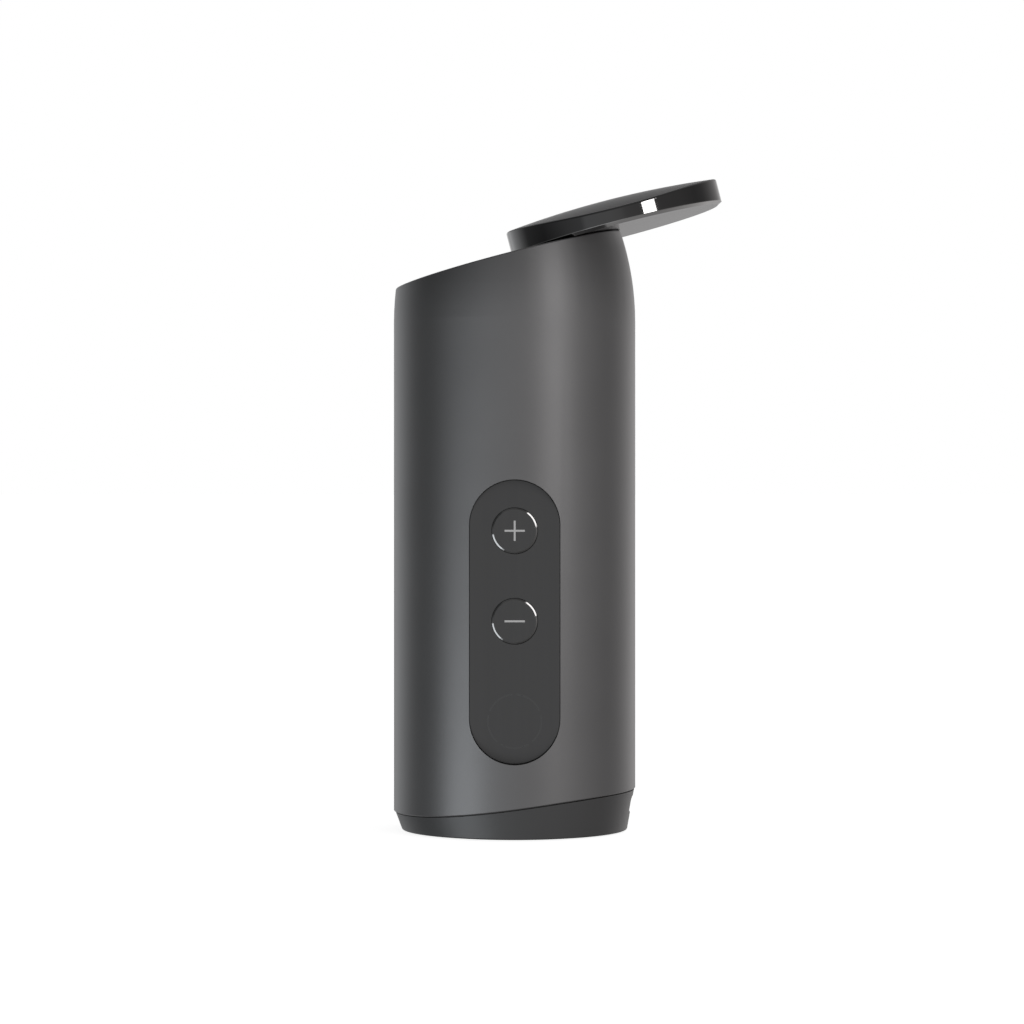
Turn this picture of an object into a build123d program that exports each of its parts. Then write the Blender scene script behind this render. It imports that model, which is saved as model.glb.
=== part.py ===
from build123d import *
import os
from math import cos, radians, sin, sqrt, tan

os.makedirs("parts", exist_ok=True)

# Handheld battery air pump for a mattress. Millimetres, +Z up, origin at the centre of the underside.
# -Y is the front, where the keys are, and +X is the side of the high rim and of the charging port.

# ---- outer form
BODY_RADIUS = 32.0
SHELL_WALL = 1.6
SHOULDER_START = 134.5          # the wall is straight up to here
SHOULDER_RADIUS = 75.0
SHOULDER_TURN = 19.9            # degrees
RIM_HEIGHT = 151.45             # the slanted rim plane's height on the axis
RIM_TILT = 14.5                 # degrees, rising towards +X
RIM_ROUND = 0.4
SEAM_LOW = 5.08                 # the shell's lower edge sweeps up from this height, on the -X side
SEAM_HIGH = 11.2                # to this one, on the +X side
SEAM_REACH = 34.0               # from the axis to each end of the sweep
SEAM_GAP = 0.25
SEAM_CHAMFER = 0.25

# ---- base cap
BASE_UNDERSIDE = 0.3
BASE_FOOT_RADIUS = 29.8
BASE_TOP_RADIUS = 31.85
BASE_TOP_HEIGHT = 8.85          # the slanted plane, above the seam, that the base's side runs up to
BASE_TOP_TILT = 5.5
BASE_ROUND = 0.45
BASE_FLOOR = 2.3
BASE_BORE = 28.4
SPIGOT_RADIUS = 30.25
SPIGOT_BOTTOM = 3.0
SPIGOT_TOP = 15.0
FOOT_RADIUS = 26.2              # middle of the rubber ring's width
FOOT_WIDTH = 1.8
FOOT_DEPTH = 0.8                # sunk into the base
GRILLE_SLOT = 1.6
GRILLE_RINGS = ((5.0, 6, 3.2), (8.6, 10, 3.9), (12.2, 14, 4.0), (15.8, 18, 4.1))  # radius, slots, slot length
FILTER_RADIUS = 19.5
FILTER_THICKNESS = 2.0
BASE_SCREW_RING = 22.4
SCREW_RADIUS = 1.1
SCREW_HEAD_RADIUS = 2.1
SCREW_HEAD = 1.0
PORT_HEIGHT = 7.1
PORT_RECESS = 0.55
PORT_RECESS_WIDTH = 12.4
PORT_RECESS_HEIGHT = 4.6
PORT_SLOPE = 0.17               # the recess leans with the base's side
PORT_OPENING_WIDTH = 9.4
PORT_OPENING_HEIGHT = 3.7
PORT_WIDTH = 8.9                # the socket's sleeve
PORT_THICKNESS = 3.2
PORT_WALL = 0.3
PORT_LENGTH = 7.4
PORT_SETBACK = 1.2
PORT_TONGUE = (6.6, 0.7)
CHARGE_BOARD_SIZE = (6.4, 16.0)
CHARGE_BOARD_PLACE = 23.2
CHARGE_BOARD_THICKNESS = 1.0

# ---- front control panel
PANEL_WIDTH = 23.15
PANEL_HEIGHT = 72.85
PANEL_CENTRE = 56.2
PANEL_GAP = 0.15
PANEL_FRONT = 29.7              # depths in front of the axis, so y = -PANEL_FRONT
PANEL_BACK = 27.8
SEAT_FRONT = 27.6
SEAT_BACK = 26.2
SEAT_RIM = 2.0
SEAT_LAND = 1.7
KEY_RADIUS = 5.83
KEY_CLEARANCE = 0.1
KEY_FRONT = 30.0
KEY_BEVEL = 0.38                # across the face
KEY_BEVEL_DEPTH = 0.18
KEY_STEM_RADIUS = 1.6
KEY_FLANGE_RADIUS = 6.8
KEY_FLANGE_FRONT = 27.7
KEY_FLANGE_BACK = 26.9
KEY_STEM_BACK = 25.2
PLUS_CENTRE = 79.6
MINUS_CENTRE = 56.4
MARK_LENGTH = 5.2
MARK_STROKE = 0.5
MARK_DEPTH = 0.3
MARK_PROUD = 0.03
RING_CENTRE = 30.75
RING_OUTER = 7.1
RING_INNER = 6.7
RING_GAP = 1.1
RING_PARTS = 5
BOARD_FRONT = 22.0
BOARD_THICKNESS = 1.0
BOARD_WIDTH = 20.0
BOARD_BOTTOM = 21.0
BOARD_TOP = 91.0
BOARD_SCREW_SPOTS = ((0, 43.0), (0, 68.0))
SWITCH_SIZE = 6.0
SWITCH_FRONT = 24.0
SWITCH_BUTTON = (1.7, 0.5)      # radius and height
LED_SIZE = (1.2, 2.0)
TOUCH_PAD = (5.0, 0.3)          # radius and thickness
CHIPS = ((-4.4, 45.6, 4.0, 5.0), (4.6, 46.0, 4.0, 5.0), (5.6, 66.6, 4.2, 4.2), (-5.6, 69.0, 5.0, 3.2))
CHIP_HEIGHT = 1.2
LED_FRONT = 23.0
GUIDE_BACK = 25.6

# ---- battery and inner frame
CELL_RADIUS = 9.2
CELL_LENGTH = 65.0
CELL_RING = 11.0                # from the axis to each cell's centre
CELL_BOTTOM = 12.2
CELL_ANGLES = (90, 210, 330)
CONTACT_RADIUS = 3.0
CONTACT_HEIGHT = 0.4
LINK_RADIUS = 3.6
LINK_WIDTH = 4.0
LINK_THICKNESS = 0.2
FRAME_RADIUS = 28.0
FRAME_FLOOR = 10.2
FRAME_PLATE = 1.8
FRAME_TOP = 79.8                # underside of the upper plate
FRAME_CELL_HOLE = 5.0           # under each cell
FRAME_AIR_HOLE = 3.4            # six in the upper plate
FRAME_AIR_RING = 19.6
FRAME_BOARD_FACE = 19.4         # the upper plate's cut for the board
FRAME_BOSS_RADIUS = 2.8
RIB_THICKNESS = 2.4
RIB_ANGLES = (30, 150)
RIB_RING = 20.5
RIB_WIDTH = 15.0
FRONT_RIB = (17.0, 8.0)         # place and width

# ---- motor and fan
MOTOR_RADIUS = 12.2
MOTOR_WALL = 1.0
MOTOR_BOTTOM = 83.0
MOTOR_TOP = 112.0
MOTOR_SCREW_RING = 7.0
MAGNET_INNER = 9.3
MAGNET_GAP = 8.0
ARMATURE_RADIUS = 8.8
ARMATURE_SLOTS = 5
COMMUTATOR_RADIUS = 3.2
BEARING_RADIUS = 3.0
TERMINAL_RING = 8.2
END_CAP_THICKNESS = 3.0
MAGNET_LENGTH = 19.0
ARMATURE_LENGTH = 14.0
COMMUTATOR_LENGTH = 4.2
SHAFT_RADIUS = 1.2
BEARING_BORE = 1.24
MOUNT_PLATE = 2.0
MOUNT_RADIUS = 28.0
MOUNT_RIM = 4.0                 # width of its ring and of its three spokes
MOUNT_LEG_RING = 25.0
MOUNT_LEG_RADIUS = 2.4
DRUM_RADIUS = 26.0
DRUM_WALL = 1.4
DRUM_TOP = 132.0
INLET_HEIGHT = 118.0
INLET_PLATE = 1.5
EYE_RADIUS = 11.0
FAN_RADIUS = 21.5
BLADE_BOTTOM = 120.6
BLADE_TOP = 125.4
FAN_BACKPLATE = 1.2
BLADE_COUNT = 9
BLADE_ROOT = 9.0
BLADE_MIDDLE = (14.5, 20)       # radius, and the angle by which it trails the root
BLADE_TIP = (21.1, 30)
BLADE_THICKNESS = 1.0
HUB_RADIUS = 3.4
HUB_DROP = 1.6                  # below the blades
NUT_RADIUS = 2.6
NUT_HEIGHT = 1.0
DIFFUSER_HEIGHT = 128.0
DIFFUSER_PLATE = 1.4
DIFFUSER_RADIUS = 22.2
VANE_COUNT = 11
VANE_RING = 23.2
VANE_SIZE = (2.6, 1.0)
VANE_HEIGHT = 3.6
PLENUM_SEAL_HEIGHT = 2.5

# ---- top deck and outlet; heights are measured from the rim plane, along its normal
DECK_TOP = -0.6
DECK_THICKNESS = 2.0
DECK_GAP = 0.15
LEDGE_WIDTH = 1.3
LEDGE_DEPTH = 1.6
OUTLET_X = -16.9                # along the slope, from the axis
OUTLET_RADIUS = 9.5
COLLAR_WALL = 1.4
COLLAR_FLANGE = 12.6
COLLAR_LENGTH = 10.4
SEAL_OUTER = 11.7
SEAL_INNER = 10.7
SEAL_DEPTH = 0.4                # sunk into the collar's flange
SEAL_THICKNESS = 0.45
GUARD_THICKNESS = 1.2
GUARD_BAR = 1.0
GUARD_HUB = 2.4
GUARD_RING = 5.8
POST_RING = 20.0
POST_ANGLES = (50, 110, 250, 310)
POST_RADIUS = 2.2
DECK_BOSS_RADIUS = 3.4
OUTLET_BOSS_WALL = 1.6
OUTLET_BOSS_DROP = 3.0
PIVOT_BOSS_WALL = 1.9
PIVOT_BOSS_DROP = 5.0
DECK_SCREW_SINK = 2.0           # from the deck's face to the underside of each screw's head
POST_DROP = 4.6                 # from the deck's face at each screw to the post's top

# ---- lid; heights are measured from its flat underside
PIVOT_X = 13.17                 # along the slope, from the axis
LID_REACH = 15.03               # from the pivot to the lid's centre
LID_GAP = 0.1                   # between the rim and the lid's flat underside
LID_RADIUS = 28.7
LID_PEAK = 8.49
LID_ACROSS_RADIUS = 96.5        # curvature of the top, front to back
LID_ALONG_RADIUS = 250.0        # curvature of the top, along the slope
LID_RIDGE_SHIFT = 1.2           # the top is highest this far to the pivot's side of the lid's centre
UNDERPLATE = 0.85
UNDERPLATE_BEVEL = 1.3          # across, round its lower edge
UNDERPLATE_BEVEL_RISE = 0.7
BAND_WALL = 2.2
DOME_RADIUS = 28.0
DOME_GAP = 0.12
BAND_ROUND = 0.5
DOME_THICKNESS = 1.5
PIN_RADIUS = 2.5
PIN_BORE = 2.55
PIN_BOTTOM = -10.2
BUSH_RADIUS = 3.6
BUSH_LENGTH = 7.6
WASHER_RADIUS = 7.0
WASHER_CLEARANCE = 0.05
PIN_SOCKET = 2.0                # depth of the pin's socket above the underplate
PIN_HEAD = 1.2
CLIP_GROOVE = 0.8               # from the pin's lower end
CLIP_THICKNESS = 0.6


def tilted_plane(height, tilt):
    """A plane through the axis at a height, rising towards +X."""
    turn = radians(tilt)
    return Plane(origin=(0, 0, height), x_dir=(cos(turn), 0, sin(turn)), z_dir=(-sin(turn), 0, cos(turn)))


def polar(radius, angle):
    """A point at a radius and an angle in degrees."""
    return (radius * cos(radians(angle)), radius * sin(radians(angle)))


rim_plane = tilted_plane(RIM_HEIGHT, RIM_TILT)
rim_normal = Axis(rim_plane.origin, rim_plane.z_dir)
base_top_plane = tilted_plane(BASE_TOP_HEIGHT, BASE_TOP_TILT)


def front_plane(depth):
    """A plane facing the front, a depth in front of the axis."""
    return Plane.XZ.offset(depth)


def slope_plane(x, height):
    """A plane parallel to the rim, centred x along the slope."""
    centre = rim_plane.from_local_coords((x, 0, height))
    return Plane(origin=centre, x_dir=rim_plane.x_dir, z_dir=rim_plane.z_dir)


def lid_plane(height):
    """A plane parallel to the rim, centred on the open lid, at a height above its underside."""
    return slope_plane(PIVOT_X + LID_REACH, LID_GAP + height)


def pivot_plane(height):
    """A plane parallel to the rim, centred on the lid's pivot, at a height above the rim plane."""
    return slope_plane(PIVOT_X, height)


def stadium(margin):
    """The control panel's outline, grown by a margin."""
    with Locations((0, PANEL_CENTRE)):
        SlotOverall(PANEL_HEIGHT + 2 * margin, PANEL_WIDTH + 2 * margin, rotation=90)


def turned_body(inset):
    """The body's turned outline, inset evenly, as a solid."""
    with BuildPart() as turned:
        with BuildSketch(Plane.XZ):
            with BuildLine():
                wall = Line((BODY_RADIUS - inset, 0), (BODY_RADIUS - inset, SHOULDER_START))
                shoulder = JernArc(wall @ 1, wall % 1, SHOULDER_RADIUS - inset, SHOULDER_TURN)
                Polyline(shoulder @ 1, (0, (shoulder @ 1).Y), (0, 0), wall @ 0)
            make_face()
        revolve(axis=Axis.Z)
    return turned.part


def above_seam(drop):
    """Everything above the seam's sweep, lowered by a drop."""
    low = SEAM_LOW - drop
    high = SEAM_HIGH - drop
    top = RIM_HEIGHT + BODY_RADIUS
    with BuildPart() as above:
        with BuildSketch(Plane.XZ):
            with BuildLine():
                Bezier((-SEAM_REACH, low), (-SEAM_REACH / 3, low), (SEAM_REACH / 3, high), (SEAM_REACH, high))
                Polyline((SEAM_REACH, high), (SEAM_REACH, top), (-SEAM_REACH, top), (-SEAM_REACH, low))
            make_face()
        extrude(amount=SEAM_REACH, both=True)
    return above.part


def domed_form(peak):
    """Everything under a doubly curved surface whose ridge is a height above the lid's underside."""
    reach = LID_RADIUS + 3
    drop = LID_ACROSS_RADIUS - sqrt(LID_ACROSS_RADIUS**2 - reach**2)
    turn = radians(RIM_TILT + 10)
    centre = PIVOT_X + LID_REACH - LID_RIDGE_SHIFT
    pivot = slope_plane(centre, LID_GAP + peak - LID_ALONG_RADIUS).origin
    start = Plane(origin=pivot, x_dir=(0, 1, 0), z_dir=(cos(turn), 0, sin(turn)))
    with BuildPart() as dome:
        with BuildSketch(start):
            with BuildLine():
                ThreePointArc(
                    (-reach, LID_ALONG_RADIUS - drop),
                    (0, LID_ALONG_RADIUS),
                    (reach, LID_ALONG_RADIUS - drop),
                )
                Polyline(
                    (reach, LID_ALONG_RADIUS - drop),
                    (reach, LID_ALONG_RADIUS - 16),
                    (-reach, LID_ALONG_RADIUS - 16),
                    (-reach, LID_ALONG_RADIUS - drop),
                )
            make_face()
        revolve(axis=Axis(pivot, (0, 1, 0)), revolution_arc=20)
    return dome.part


def finish(builder, name):
    """Label a finished piece and write its STEP file."""
    builder.part.label = name
    export_step(builder.part, f"parts/{name}.step")


outer_form = turned_body(0)
inner_form = turned_body(SHELL_WALL)
deck_form = turned_body(SHELL_WALL + DECK_GAP)
ledge_form = turned_body(SHELL_WALL + LEDGE_WIDTH)
lid_dome_form = domed_form(LID_PEAK)
lid_seat_form = domed_form(LID_PEAK - DOME_THICKNESS)

# ================================================================ casing
# Flat seat for the control panel, moulded on the inside of the shell.
with BuildPart() as panel_seat:
    with BuildSketch(front_plane(SEAT_BACK)):
        stadium(SEAT_RIM)
    extrude(amount=BODY_RADIUS - SEAT_BACK)
    add(outer_form, mode=Mode.INTERSECT)

# Ring inside the rim that the deck rests on.
with BuildPart() as deck_ledge:
    add(inner_form)
    add(ledge_form, mode=Mode.SUBTRACT)
    split(bisect_by=rim_plane.offset(DECK_TOP - DECK_THICKNESS - 0.05), keep=Keep.BOTTOM)
    split(bisect_by=rim_plane.offset(DECK_TOP - DECK_THICKNESS - 0.05 - LEDGE_DEPTH), keep=Keep.TOP)

with BuildPart() as body_shell:
    add(outer_form)
    add(inner_form, mode=Mode.SUBTRACT)
    add(panel_seat.part)
    add(deck_ledge.part)
    with BuildSketch(front_plane(SEAT_FRONT)):
        stadium(PANEL_GAP)
    extrude(amount=BODY_RADIUS - SEAT_FRONT + 1, mode=Mode.SUBTRACT)
    with BuildSketch(front_plane(SEAT_BACK - 1)):
        stadium(-SEAT_LAND)
    extrude(amount=BODY_RADIUS - SEAT_BACK + 2, mode=Mode.SUBTRACT)
    split(bisect_by=rim_plane, keep=Keep.BOTTOM)
    fillet(body_shell.edges().group_by(rim_normal)[-1], radius=RIM_ROUND)
    add(above_seam(0), mode=Mode.INTERSECT)
    lower_edges = body_shell.edges().filter_by(lambda edge: edge.bounding_box().max.Z < SEAM_HIGH + 1)
    chamfer(lower_edges.sort_by(Edge.length)[-1], length=SEAM_CHAMFER)
finish(body_shell, "body_shell")

# Plane of the charging port's recess, square to the base's sloping side.
PORT_SIDE = BASE_FOOT_RADIUS + (BASE_TOP_RADIUS - BASE_FOOT_RADIUS) * (PORT_HEIGHT - BASE_UNDERSIDE) / (
    BASE_TOP_HEIGHT + BASE_TOP_RADIUS * tan(radians(BASE_TOP_TILT)) - BASE_UNDERSIDE
)
port_plane = Plane(origin=(PORT_SIDE - PORT_RECESS, 0, PORT_HEIGHT), x_dir=(0, 1, 0), z_dir=(1, 0, -PORT_SLOPE))

with BuildPart() as base_cap:
    with BuildSketch(Plane.XY.offset(BASE_UNDERSIDE)):
        Circle(BASE_FOOT_RADIUS)
    with BuildSketch(base_top_plane):
        Ellipse(BASE_TOP_RADIUS / cos(radians(BASE_TOP_TILT)), BASE_TOP_RADIUS)
    loft()
    add(above_seam(SEAM_GAP), mode=Mode.SUBTRACT)
    fillet(base_cap.edges().group_by(Axis.Z)[0], radius=BASE_ROUND)
    with BuildSketch(Plane.XY.offset(SPIGOT_BOTTOM)):
        Circle(SPIGOT_RADIUS)
    extrude(amount=SPIGOT_TOP - SPIGOT_BOTTOM)
    with BuildSketch(Plane.XY.offset(BASE_FLOOR)):
        Circle(BASE_BORE)
    extrude(amount=SPIGOT_TOP, mode=Mode.SUBTRACT)
    with BuildSketch(Plane.XY):
        Circle(FOOT_RADIUS + FOOT_WIDTH / 2)
        Circle(FOOT_RADIUS - FOOT_WIDTH / 2, mode=Mode.SUBTRACT)
    extrude(amount=BASE_UNDERSIDE + FOOT_DEPTH, mode=Mode.SUBTRACT)
    with BuildSketch(Plane.XY):
        Circle(1.6)
        for ring, count, length in GRILLE_RINGS:
            with PolarLocations(ring, count):
                SlotOverall(length, GRILLE_SLOT, rotation=90)
    extrude(amount=BASE_FLOOR + 1, mode=Mode.SUBTRACT)
    with BuildSketch(Plane.XY):
        with PolarLocations(BASE_SCREW_RING, 3, start_angle=CELL_ANGLES[0]):
            Circle(SCREW_HEAD_RADIUS + 0.15)
    extrude(amount=BASE_UNDERSIDE + SCREW_HEAD + 0.2, mode=Mode.SUBTRACT)
    with BuildSketch(Plane.XY):
        with PolarLocations(BASE_SCREW_RING, 3, start_angle=CELL_ANGLES[0]):
            Circle(SCREW_RADIUS + 0.1)
    extrude(amount=BASE_FLOOR + 1, mode=Mode.SUBTRACT)
    with BuildSketch(port_plane):
        SlotOverall(PORT_RECESS_WIDTH, PORT_RECESS_HEIGHT)
    extrude(amount=3, mode=Mode.SUBTRACT)
    with BuildSketch(Plane.YZ.offset(BASE_BORE - 1)):
        with Locations((0, PORT_HEIGHT)):
            SlotOverall(PORT_OPENING_WIDTH, PORT_OPENING_HEIGHT)
    extrude(amount=6, mode=Mode.SUBTRACT)
finish(base_cap, "base_cap")

with BuildPart() as foot_ring:
    with BuildSketch(Plane.XY):
        Circle(FOOT_RADIUS + FOOT_WIDTH / 2)
        Circle(FOOT_RADIUS - FOOT_WIDTH / 2, mode=Mode.SUBTRACT)
    extrude(amount=BASE_UNDERSIDE + FOOT_DEPTH)
    fillet(foot_ring.edges().group_by(Axis.Z)[0], radius=0.15)
finish(foot_ring, "foot_ring")

with BuildPart() as intake_filter:
    with BuildSketch(Plane.XY.offset(BASE_FLOOR)):
        Circle(FILTER_RADIUS)
    extrude(amount=FILTER_THICKNESS)
finish(intake_filter, "intake_filter")

# ================================================================ charging port
with BuildPart() as charge_port:
    with BuildSketch(Plane.YZ.offset(PORT_SIDE - PORT_SETBACK)):
        with Locations((0, PORT_HEIGHT)):
            SlotOverall(PORT_WIDTH, PORT_THICKNESS)
    extrude(amount=-PORT_LENGTH)
    with BuildSketch(Plane.YZ.offset(PORT_SIDE - PORT_SETBACK)):
        with Locations((0, PORT_HEIGHT)):
            SlotOverall(PORT_WIDTH - 2 * PORT_WALL, PORT_THICKNESS - 2 * PORT_WALL)
    extrude(amount=-PORT_LENGTH + 0.8, mode=Mode.SUBTRACT)
    with BuildSketch(Plane.YZ.offset(PORT_SIDE - PORT_SETBACK - 0.8)):
        with Locations((0, PORT_HEIGHT)):
            Rectangle(*PORT_TONGUE)
    extrude(amount=-PORT_LENGTH + 1.4)
finish(charge_port, "charge_port")

with BuildPart() as charge_board:
    with BuildSketch(Plane.XY.offset(PORT_HEIGHT - PORT_THICKNESS / 2)):
        with Locations((CHARGE_BOARD_PLACE, 0)):
            RectangleRounded(*CHARGE_BOARD_SIZE, 0.8)
    extrude(amount=-CHARGE_BOARD_THICKNESS)
finish(charge_board, "charge_board")

# ================================================================ battery
with BuildPart() as battery_cells:
    with BuildSketch(Plane.XY.offset(CELL_BOTTOM)):
        with PolarLocations(CELL_RING, 3, start_angle=CELL_ANGLES[0]):
            Circle(CELL_RADIUS)
    extrude(amount=CELL_LENGTH)
    fillet(battery_cells.edges(), radius=0.6)
    with BuildSketch(Plane.XY.offset(CELL_BOTTOM + CELL_LENGTH)):
        with PolarLocations(CELL_RING, 3, start_angle=CELL_ANGLES[0]):
            Circle(CONTACT_RADIUS)
    extrude(amount=CONTACT_HEIGHT)
finish(battery_cells, "battery_cells")

with BuildPart() as cell_links:
    with BuildSketch(Plane.XY.offset(CELL_BOTTOM + CELL_LENGTH + CONTACT_HEIGHT)):
        with PolarLocations(CELL_RING, 3, start_angle=CELL_ANGLES[0]):
            Circle(LINK_RADIUS)
        with PolarLocations(CELL_RING / 2, 3, start_angle=CELL_ANGLES[0]):
            Rectangle(CELL_RING, LINK_WIDTH)
    extrude(amount=LINK_THICKNESS)
finish(cell_links, "cell_links")

# ================================================================ inner frame
with BuildPart() as inner_frame:
    with BuildSketch(Plane.XY.offset(FRAME_FLOOR)):
        Circle(FRAME_RADIUS)
        with PolarLocations(CELL_RING, 3, start_angle=CELL_ANGLES[0]):
            Circle(FRAME_CELL_HOLE, mode=Mode.SUBTRACT)
    extrude(amount=FRAME_PLATE)
    with BuildSketch(Plane.XY.offset(FRAME_TOP)):
        Circle(FRAME_RADIUS)
        with Locations((0, -FRAME_RADIUS)):
            Rectangle(BOARD_WIDTH + 2.6, 2 * (FRAME_RADIUS - FRAME_BOARD_FACE), mode=Mode.SUBTRACT)
        with PolarLocations(FRAME_AIR_RING, 6, start_angle=0):
            Circle(FRAME_AIR_HOLE, mode=Mode.SUBTRACT)
    extrude(amount=FRAME_PLATE)
    with BuildSketch(Plane.XY.offset(FRAME_FLOOR)):
        for angle in RIB_ANGLES:
            with PolarLocations(RIB_RING, 1, start_angle=angle):
                Rectangle(RIB_WIDTH, RIB_THICKNESS)
        with Locations((0, -FRONT_RIB[0])):
            Rectangle(RIB_THICKNESS, FRONT_RIB[1])
    extrude(amount=FRAME_TOP + FRAME_PLATE - FRAME_FLOOR)
    with BuildSketch(front_plane(BOARD_FRONT - BOARD_THICKNESS)):
        with Locations(*BOARD_SCREW_SPOTS):
            Circle(FRAME_BOSS_RADIUS)
    extrude(amount=-6.0)
    with BuildSketch(front_plane(BOARD_FRONT - BOARD_THICKNESS)):
        with Locations(*BOARD_SCREW_SPOTS):
            Circle(SCREW_RADIUS)
    extrude(amount=-5.0, mode=Mode.SUBTRACT)
    with BuildSketch(Plane.XY.offset(FRAME_TOP + FRAME_PLATE)):
        Circle(MOTOR_RADIUS + 1.6)
        Circle(MOTOR_RADIUS + 0.2, mode=Mode.SUBTRACT)
    extrude(amount=6.0)
    with BuildSketch(Plane.XY.offset(BASE_FLOOR)):
        with PolarLocations(BASE_SCREW_RING, 3, start_angle=CELL_ANGLES[0]):
            Circle(FRAME_BOSS_RADIUS)
    extrude(amount=FRAME_FLOOR - BASE_FLOOR + FRAME_PLATE)
    with BuildSketch(Plane.XY.offset(BASE_FLOOR)):
        with PolarLocations(BASE_SCREW_RING, 3, start_angle=CELL_ANGLES[0]):
            Circle(SCREW_RADIUS)
    extrude(amount=7.0, mode=Mode.SUBTRACT)
finish(inner_frame, "inner_frame")

with BuildPart() as base_screws:
    with BuildSketch(Plane.XY.offset(BASE_UNDERSIDE + 0.2)):
        with PolarLocations(BASE_SCREW_RING, 3, start_angle=CELL_ANGLES[0]):
            Circle(SCREW_HEAD_RADIUS)
            RegularPolygon(1.0, 6, mode=Mode.SUBTRACT)
    extrude(amount=SCREW_HEAD)
    with BuildSketch(Plane.XY.offset(BASE_UNDERSIDE + SCREW_HEAD - 0.2)):
        with PolarLocations(BASE_SCREW_RING, 3, start_angle=CELL_ANGLES[0]):
            Circle(SCREW_RADIUS)
    extrude(amount=7.6)
finish(base_screws, "base_screws")

# ================================================================ control panel and keys


def ring_slots():
    """The indicator ring's arcs, in the panel's own plane."""
    with Locations((0, RING_CENTRE)):
        Circle(RING_OUTER)
        Circle(RING_INNER, mode=Mode.SUBTRACT)
        with PolarLocations((RING_OUTER + RING_INNER) / 2, RING_PARTS, start_angle=90):
            Rectangle(4 * (RING_OUTER - RING_INNER), RING_GAP, mode=Mode.SUBTRACT)


def mark_bars(centre, crossed):
    """A plus or a minus mark in the panel's own plane."""
    with Locations((0, centre)):
        Rectangle(MARK_LENGTH, MARK_STROKE)
        if crossed:
            Rectangle(MARK_STROKE, MARK_LENGTH)


with BuildPart() as control_panel:
    with BuildSketch(front_plane(PANEL_BACK)):
        stadium(0)
        with Locations((0, PLUS_CENTRE), (0, MINUS_CENTRE)):
            Circle(KEY_RADIUS + KEY_CLEARANCE, mode=Mode.SUBTRACT)
    extrude(amount=PANEL_FRONT - PANEL_BACK)
    with BuildSketch(front_plane(PANEL_BACK)):
        ring_slots()
    extrude(amount=PANEL_FRONT - PANEL_BACK, mode=Mode.SUBTRACT)
    fillet(control_panel.edges().group_by(Axis.Y)[0].sort_by(Edge.length)[-4:], radius=0.12)
finish(control_panel, "control_panel")

with BuildPart() as panel_gasket:
    with BuildSketch(front_plane(SEAT_FRONT)):
        stadium(-0.1)
    extrude(amount=PANEL_BACK - SEAT_FRONT)
    with BuildSketch(front_plane(SEAT_FRONT)):
        stadium(-SEAT_LAND)
    extrude(amount=PANEL_BACK - SEAT_FRONT, mode=Mode.SUBTRACT)
finish(panel_gasket, "panel_gasket")

with BuildPart() as light_guides:
    with BuildSketch(front_plane(GUIDE_BACK)):
        ring_slots()
    extrude(amount=PANEL_FRONT - GUIDE_BACK)
finish(light_guides, "light_guides")


def build_key(centre, crossed):
    """A round key with a bevelled face, a flange behind the panel and a stem, recessed for its mark."""
    with BuildPart() as key:
        with BuildSketch(front_plane(KEY_FLANGE_FRONT)):
            with Locations((0, centre)):
                Circle(KEY_RADIUS)
        extrude(amount=KEY_FRONT - KEY_FLANGE_FRONT)
        face = key.faces().sort_by(Axis.Y)[0]
        chamfer(face.edges(), length=KEY_BEVEL, length2=KEY_BEVEL_DEPTH, reference=face)
        with BuildSketch(front_plane(KEY_FLANGE_BACK)):
            with Locations((0, centre)):
                Circle(KEY_FLANGE_RADIUS)
        extrude(amount=KEY_FLANGE_FRONT - KEY_FLANGE_BACK)
        with BuildSketch(front_plane(KEY_STEM_BACK)):
            with Locations((0, centre)):
                Circle(KEY_STEM_RADIUS)
        extrude(amount=KEY_FLANGE_BACK - KEY_STEM_BACK)
        with BuildSketch(front_plane(KEY_FRONT - MARK_DEPTH)):
            mark_bars(centre, crossed)
        extrude(amount=MARK_DEPTH, mode=Mode.SUBTRACT)
    return key


def build_mark(centre, crossed):
    """The inlaid mark of a key."""
    with BuildPart() as mark:
        with BuildSketch(front_plane(KEY_FRONT - MARK_DEPTH)):
            mark_bars(centre, crossed)
        extrude(amount=MARK_DEPTH + MARK_PROUD)
    return mark


finish(build_key(PLUS_CENTRE, True), "plus_key")
finish(build_key(MINUS_CENTRE, False), "minus_key")
finish(build_mark(PLUS_CENTRE, True), "plus_mark")
finish(build_mark(MINUS_CENTRE, False), "minus_mark")

with BuildPart() as main_board:
    with BuildSketch(front_plane(BOARD_FRONT - BOARD_THICKNESS)):
        with Locations((0, (BOARD_BOTTOM + BOARD_TOP) / 2)):
            RectangleRounded(BOARD_WIDTH, BOARD_TOP - BOARD_BOTTOM, 1.5)
        with Locations(*BOARD_SCREW_SPOTS):
            Circle(SCREW_RADIUS + 0.1, mode=Mode.SUBTRACT)
    extrude(amount=BOARD_THICKNESS)
finish(main_board, "main_board")

with BuildPart() as board_screws:
    with BuildSketch(front_plane(BOARD_FRONT)):
        with Locations(*BOARD_SCREW_SPOTS):
            Circle(SCREW_HEAD_RADIUS)
    extrude(amount=SCREW_HEAD)
    with BuildSketch(front_plane(BOARD_FRONT)):
        with Locations(*BOARD_SCREW_SPOTS):
            Circle(SCREW_RADIUS)
    extrude(amount=-5.0)
finish(board_screws, "board_screws")

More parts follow.
